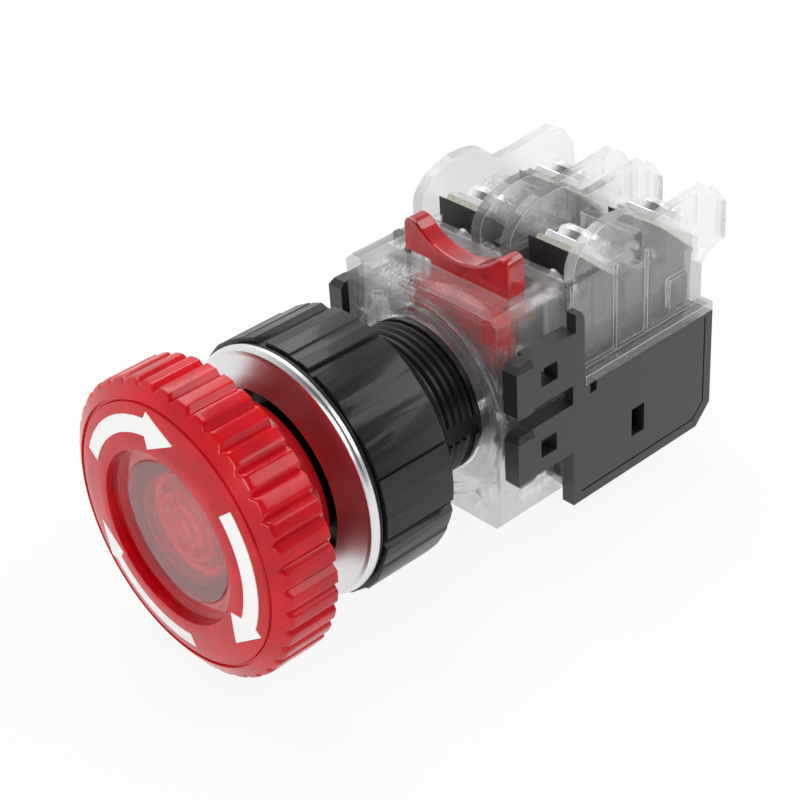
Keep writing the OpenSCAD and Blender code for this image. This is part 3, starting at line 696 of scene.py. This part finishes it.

# %% [markdown]
# ## Clear plastic
# The collar and the terminal covers are moulded in clear polycarbonate. Real clear walls show mainly
# their edges, where they catch the light. Full glass would be slow and would show too much of the
# inside, so the walls mix some glass with some plain transparency, and the rounded edges get a whiter,
# more solid finish: a painted highlight for the light on those edges.

# %% Two clear finishes and the edges that use them
clear_cover = finish("clear_cover", (0.97, 0.97, 0.975), (0.99, 0.99, 0.99), roughness=(0.0, 0.02),
                     grain=4, bump=0.0, Transmission_Weight=0.9, IOR=1.5, Alpha=0.48)
# The edge finish is a painted highlight: whiter and more solid than the walls, for the light that clear
# edges catch.
clear_edge_painted_highlight = finish("clear_edge_painted_highlight", (0.9, 0.9, 0.91), (0.97, 0.97, 0.98), roughness=(0.05, 0.1),
                    grain=2, bump=0.0, Transmission_Weight=0.15, IOR=1.5, Alpha=0.8)


def bright_edged(piece, width):
    """Rounds a clear piece and gives the rounded strips a painted highlight, a brighter finish than the
    faces.
    """
    piece.data.materials.clear()
    for surface in (clear_cover, clear_edge_painted_highlight):
        piece.data.materials.append(surface)
    return rounded(piece, width, angle=40, material=1)


print("clear finishes:", clear_cover.name, "and", clear_edge_painted_highlight.name)

# %% [markdown]
# ## Latch collar
# The collar holds the barrel's tail and the red slide. Its pockets and walls are already right in the
# CAD model, so it is copied and its loose triangles are merged into flat faces. The copy then gets
# the ribs, the rim and the corner blocks of the real part before its edges are rounded.

# %% The clear collar
def copied(node, name):
    """A merged copy of a CAD node, with the flat faces' triangles dissolved."""
    piece = bpy.data.objects.new(name, nodes[node].data.copy())
    bpy.context.collection.objects.link(piece)
    select_only(piece)
    bpy.ops.mesh.customdata_custom_splitnormals_clear()
    bpy.ops.object.mode_set(mode="EDIT")
    merge_all()
    bpy.ops.mesh.dissolve_limited(angle_limit=math.radians(2))
    bpy.ops.object.mode_set(mode="OBJECT")
    return piece


def add_ribs(piece, corners):
    for low, high in corners:
        combine(piece, block("rib", low, high), "UNION")


collar = copied("latch_collar", "collar")
add_ribs(collar, [((-12.3, 21.95, 8.6), (-9.6, 22.9, 11.6)), ((9.4, 24, 10.6), (12.7, 27.3, 14.4)),
                  ((-12.7, 24, -15.1), (-9.9, 27, -11.4)), ((9.9, 24, -15.1), (12.7, 27, -11.4)),
                  ((-11.6, 33.9, 15.9), (7.6, 35.5, 16.19)), ((-13.2, 22.0, -9.4), (-12.6, 22.9, 9.4))])
combine(collar, turned("rim", [(14.2, 22.05), (14.9, 22.05), (14.9, 22.9), (14.2, 22.9)]), "UNION")
done(bright_edged(collar, 0.26), "rear_unit", "clear_cover", "latch_collar")

# %% [markdown]
# ## Red slide
# The slide is one glossy red moulding: a plate with a round notch that hooks behind the barrel, a
# bridge, and a thumb saddle that stands up through the slot. It could be sculpted from one box. Three
# slabs, each rounded before it is joined, keep the hollows of the saddle and the notch exactly round.

# %% The slide
def arc(r, start, end, centre=(0, 0), step=6):
    """Points on an arc, in degrees."""
    count = max(1, round(abs(end - start) / step))
    angles = [math.radians(start + (end - start) * i / count) for i in range(count + 1)]
    return [(centre[0] + r * math.cos(angle), centre[1] + r * math.sin(angle)) for angle in angles]


finish("red_slider", (0.42, 0.003, 0.006), (0.72, 0.008, 0.012), roughness=(0.03, 0.08), grain=4,
       contrast=1.8, Transmission_Weight=0.3, IOR=1.5, Coat_Weight=0.6)
saddle = ([(-3.4, 14), (-3.4, 16.4), (-8.2, 16.4), (-8.2, 20.3), (-7.95, 21), (-7.3, 21.35), (-6.4, 21.3)]
          + arc(10.6, 226, 314, (1.5, 28.7))
          + [(9.3, 21.3), (10.2, 21.35), (10.8, 21), (11, 20.3), (11, 14)])
notch = ([(-3.45, 14), (-3.45, 10.83)] + arc(11.37, 107.5, 90) + arc(11.37, 90, 35, (3, 0))
         + [(12.3, 6.6), (12.3, 14)])
slide = rounded(slab("slide", saddle, 27.95, 31.05, "Y"), 0.35, 3, 40)
combine(slide, rounded(slab("slide_plate", notch, 24.85, 26.75, "Y"), 0.2, 2, 40), "UNION")
combine(slide, rounded(block("slide_bridge", (-3.45, 24.9, 12.65), (10.95, 31, 14.05)), 0.15), "UNION")
done(slide, "slider", "red_slider", "latch_slider")

# %% [markdown]
# ## The slide's spring
# A small coil spring of bright wire holds the slide to the right, and shows through the collar. A curve
# with a round bevel could draw it. The Screw modifier that wound the thread also winds a disc of wire,
# and closes the ends by itself.

# %% The latch spring
COIL_R, WIRE_R, WIRE_SIDES = 1.35, 0.24, 10
COIL_LOW, COIL_HIGH, COIL_TURNS, COIL_STEPS = -10.35, -3.6, 8, 20
COIL_CENTRE = Vector((COIL_LOW + WIRE_R, 26.2, 12.1)) * MM


def make_latch_coil():
    bpy.ops.object.select_all(action="DESELECT")
    bpy.ops.mesh.primitive_circle_add(vertices=WIRE_SIDES, radius=WIRE_R * MM, fill_type="NGON",
                                      location=(0, 0, COIL_R * MM), rotation=(math.pi / 2, 0, 0))
    coil = bpy.context.object
    coil.name = coil.data.name = "latch_coil"
    bpy.ops.object.transform_apply(location=True, rotation=True, scale=True)
    wind(coil, "X", COIL_TURNS, (COIL_HIGH - COIL_LOW - 2 * WIRE_R) / COIL_TURNS, COIL_STEPS)
    bpy.ops.object.mode_set(mode="EDIT")
    bpy.ops.mesh.select_all(action="SELECT")
    bpy.ops.transform.translate(value=COIL_CENTRE)
    return clean(coil)


finish("spring_steel", (0.55, 0.55, 0.56), (0.7, 0.7, 0.71), roughness=(0.2, 0.3), grain=0.4,
       Metallic=1.0)
done(make_latch_coil(), "rear_unit", "spring_steel", "latch_spring", angle=50)

# %% [markdown]
# ## The right side cover
# Each contact block has a black side cover: a plate with two arms whose hooks clip over the collar. The
# CAD copy has square hooks. The real ones are chamfered all round, so one tool with the outline of that
# chamfer is cut from each arm, and a fine groove is cut along the plate's rear and lower edges.

# %% The right side cover
finish("black_cover", (0.013, 0.013, 0.0125), (0.022, 0.022, 0.021), roughness=(0.32, 0.42), grain=0.25,
       bump=0.006, Coat_Weight=0.15, Coat_Roughness=0.1)
cover = copied("side_cover_right", "cover_right")
HOOK_SHIFT = 0.15
for low_z in (2.7, -7.9):
    outline = [(17.3, low_z - 1), (18.5, low_z - 1), (18.5, low_z + 9), (17.3, low_z + 9),
               (17.3, low_z + 8.1), (17.75, low_z + 7.2), (17.75, low_z + 0.9), (17.3, low_z)]
    combine(cover, slab("corner", [(x - HOOK_SHIFT, z) for x, z in outline], 21, 25.7, "Y"))
border = [(34.9, -14.85), (58.15, -14.85), (60.35, -12.65), (60.35, 1.2), (60.1, 1.2), (60.1, -12.55),
          (58.05, -14.6), (34.9, -14.6)]
combine(cover, slab("border", border, 16.72, 18))
rounded(cover, 0.22, angle=40)
done(cover, "rear_unit", "black_cover", "side_cover_right", angle=4)

# %% [markdown]
# ## The left side cover
# The left cover is the right one's mirror image, as the two halves of the mould are. A Mirror modifier
# would make one piece of both. A copy scaled by minus one in X stays a piece of its own. That turns the
# faces inside out, so cleaning it points them outwards again.

# %% The left side cover
def mirrored(piece, name):
    """A copy with its own mesh on the other side of the centre plane."""
    select_only(piece)
    bpy.ops.object.duplicate()
    other = bpy.context.object
    other.name = other.data.name = name
    other.scale.x = -1
    bpy.ops.object.transform_apply(location=False, rotation=False, scale=True)
    bpy.ops.object.mode_set(mode="EDIT")
    return clean(other)


done(mirrored(cover, "cover_left"), "rear_unit", "black_cover", "side_cover_left", angle=4)

# %% [markdown]
# ## Terminal covers
# The terminal covers are clear, with a finger fin on each side of the screws, so that no finger can
# reach live metal. Ribs and a locking nib stand on the outer fin. They are added to the CAD copy as
# blocks, as on the collar, and the left cover is again the mirror image.

# %% The terminal covers
fins = copied("terminal_cover_right", "fins_right")
add_ribs(fins, [((14.7, 43.6, 3), (15.4, 44.4, 16)), ((14.7, 49.8, 3), (15.4, 50.6, 15.4)),
                ((14.7, 54.2, 4.6), (15.6, 57.8, 9)), ((3.5, 44.2, 12.8), (4.4, 50.4, 13.8)),
                ((12.3, 36.5, 14.6), (13.2, 50.4, 15.6)), ((3.5, 60.6, 9.4), (13.2, 61.7, 12.2))])
done(bright_edged(fins, 0.24), "rear_unit", "clear_cover", "terminal_cover_right")
done(mirrored(fins, "fins_left"), "rear_unit", "clear_cover", "terminal_cover_left")

# %% [markdown]
# ## Screws and washers
# The four screws and their square washers are bright zinc. The CAD shapes are right but sharp, and
# plated steel is drawn by the light on its edges, so the copies are only rounded.

# %% The screws and the washers
finish("zinc_steel", (0.84, 0.85, 0.87), (0.93, 0.94, 0.95), roughness=(0.2, 0.3), Metallic=0.9)
for node, name, width in [("terminal_screws", "screws", 0.16), ("terminal_washers", "washers", 0.12)]:
    done(rounded(copied(node, name), width), "rear_unit", "zinc_steel", node)

# %% [markdown]
# ## Contact bases
# The bases are the dark nylon blocks under the clear covers. Seen through a wall, a strong grain looks
# like dirt, so their finish is almost even, and their edges are softly rounded like the covers'.

# %% The bases
finish("grey_base", (0.022, 0.022, 0.022), (0.024, 0.024, 0.024), roughness=(0.4, 0.42), grain=2,
       bump=0.0)
for side in ("right", "left"):
    base = rounded(copied("contact_base_" + side, "base_" + side), 0.15, angle=40)
    done(base, "rear_unit", "grey_base", "contact_base_" + side)

# %% [markdown]
# ## The other pieces
# The white arrows, the terminal strips and all that is inside the housing keep the CAD model's mesh and
# take the finish of their slot. The print is matt white, the strips are plated brass, the contacts are
# copper, and the cam, the plungers and the lamp holder are natural nylon.

# %% Finish the CAD pieces
finish("white_print", (0.93, 0.93, 0.92), (0.97, 0.97, 0.96), roughness=(0.4, 0.5), grain=0.3)
finish("natural_nylon", (0.78, 0.76, 0.7), (0.85, 0.83, 0.78), roughness=(0.35, 0.45))
finish("plated_brass", (0.6, 0.57, 0.5), (0.75, 0.72, 0.65), roughness=(0.2, 0.3), Metallic=1.0)
finish("copper", (0.7, 0.4, 0.22), (0.85, 0.5, 0.3), roughness=(0.2, 0.3), Metallic=1.0)
finish("lamp_plastic", (0.8, 0.76, 0.68), (0.88, 0.84, 0.78), roughness=(0.25, 0.35))
for part in subparts:
    surface = nodes[part["node"]].data
    surface.materials.clear()
    surface.materials.append(bpy.data.materials[part["material_slot"]])
print("CAD pieces finished:", len(subparts))
